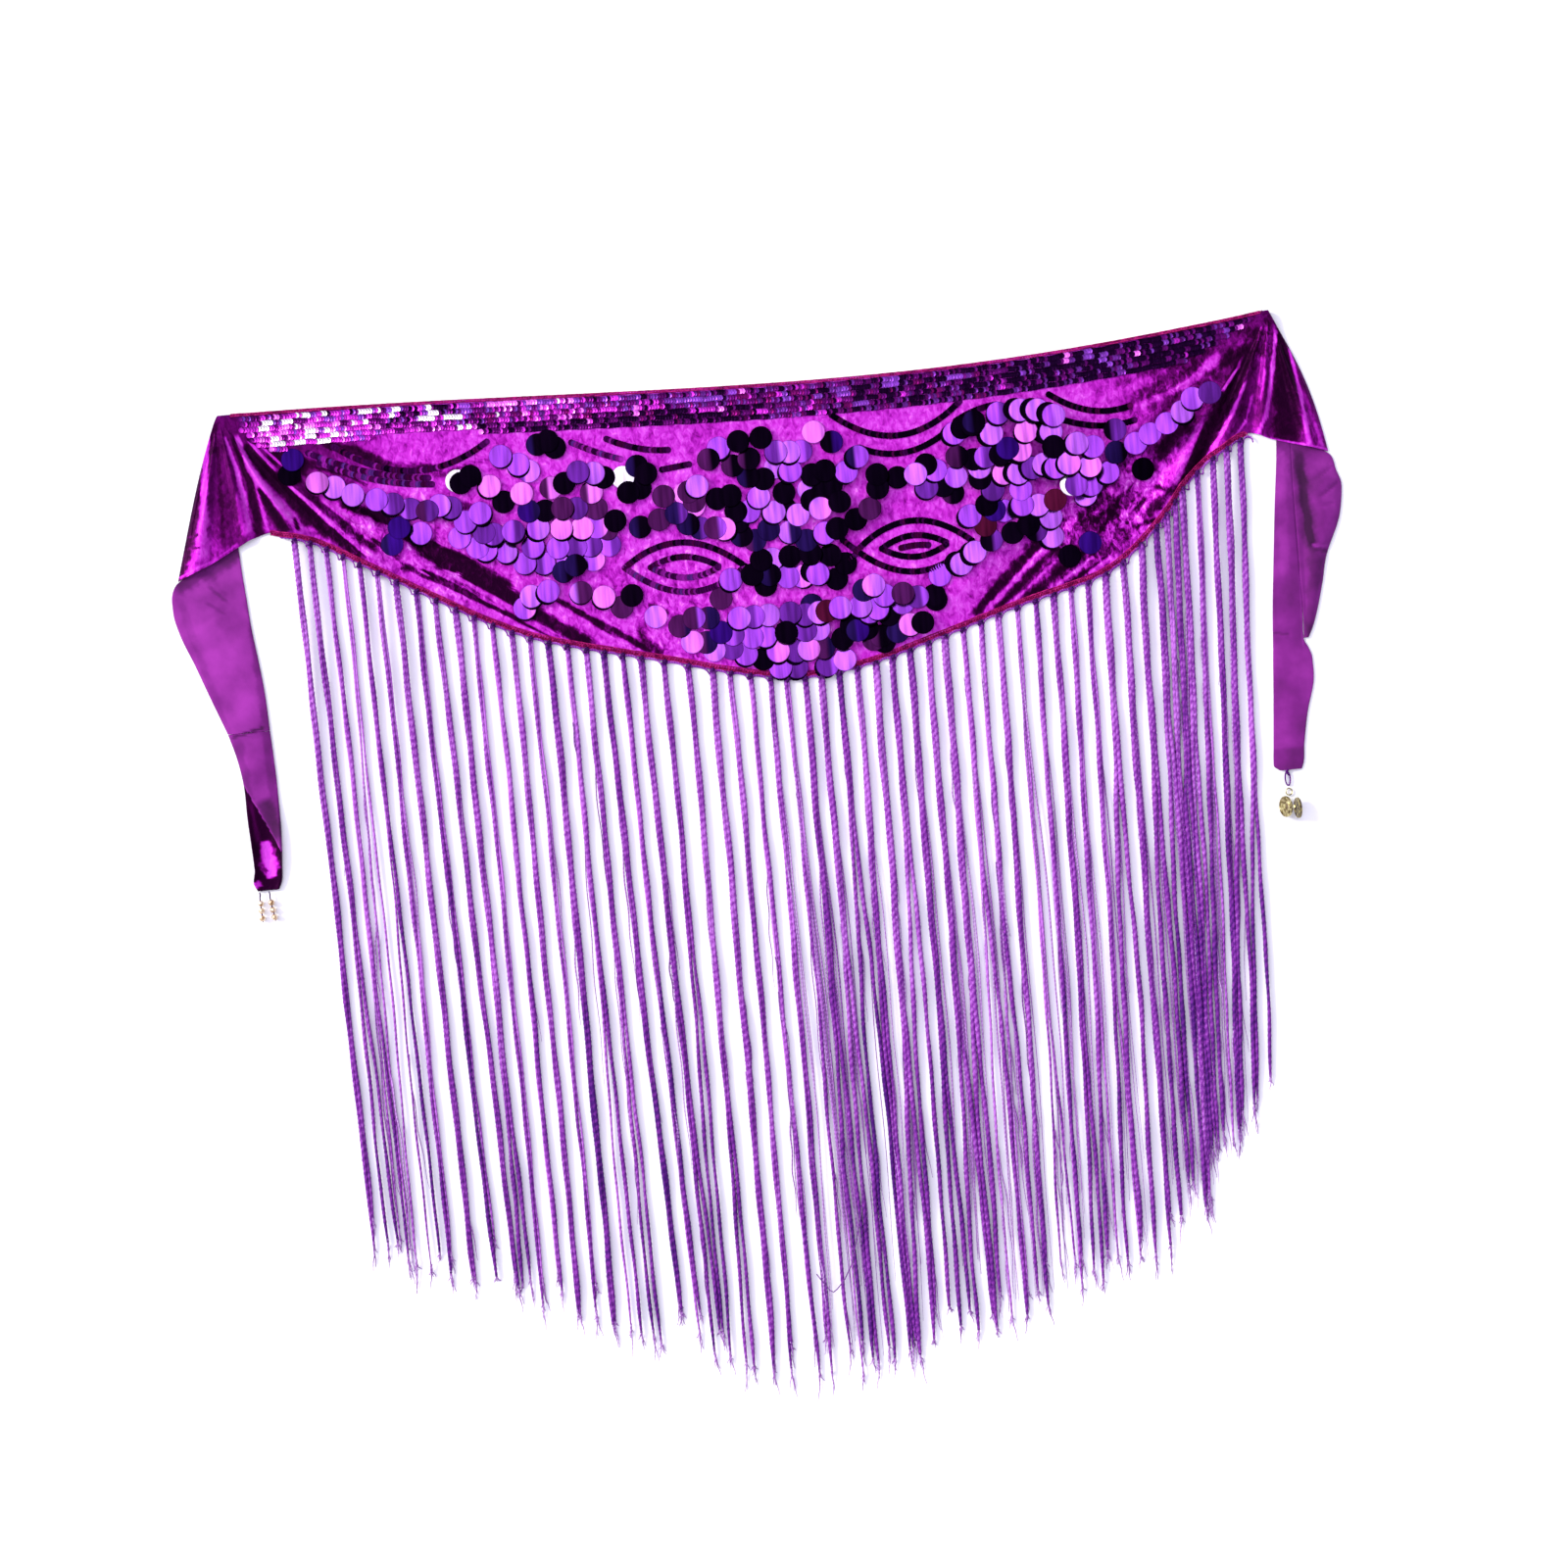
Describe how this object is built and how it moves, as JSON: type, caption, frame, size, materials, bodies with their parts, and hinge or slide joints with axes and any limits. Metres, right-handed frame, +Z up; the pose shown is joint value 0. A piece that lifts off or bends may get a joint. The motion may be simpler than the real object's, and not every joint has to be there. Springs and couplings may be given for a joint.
{
  "type": "belly dance hip scarf",
  "caption": "Triangular velvet hip scarf laid flat: gathered corners with folded ties, a sequined front edge, a long cord fringe, and coins and beads on the tie ends.",
  "frame": {"origin": "middle of the laid scarf's outline, on the surface it lies on", "axes": "+X along the scarf's length from the left corner to the right one, +Y from the fringe towards the top edge, +Z up out of the front"},
  "size_m": [0.8992, 0.7779, 0.0149],
  "materials": {
    "foil_velvet": "crushed magenta velvet with a foil shine",
    "velvet_back": "matte purple knit, the velvet's wrong side",
    "cord_yarn": "soft twisted violet yarn",
    "thread": "dark purple sewing thread",
    "overlock": "crimson overlock stitching",
    "paillette": "mirror-like plastic discs, violet, pink and near black",
    "small_sequin": "small holographic plastic sequins",
    "brass": "worn light brass"
  },
  "bodies": {
    "root": {"front_panel": "foil_velvet", "tie_left": "velvet_back", "tie_left_end": "velvet_back", "tie_right": "velvet_back", "tie_right_fold": "velvet_back", "fringe": "cord_yarn", "thread_loop": "thread", "coin_ring": "brass", "coin_left": "brass", "coin_right": "brass", "beads_left": "brass", "beads_right": "brass"}
  },
  "joints": []
}
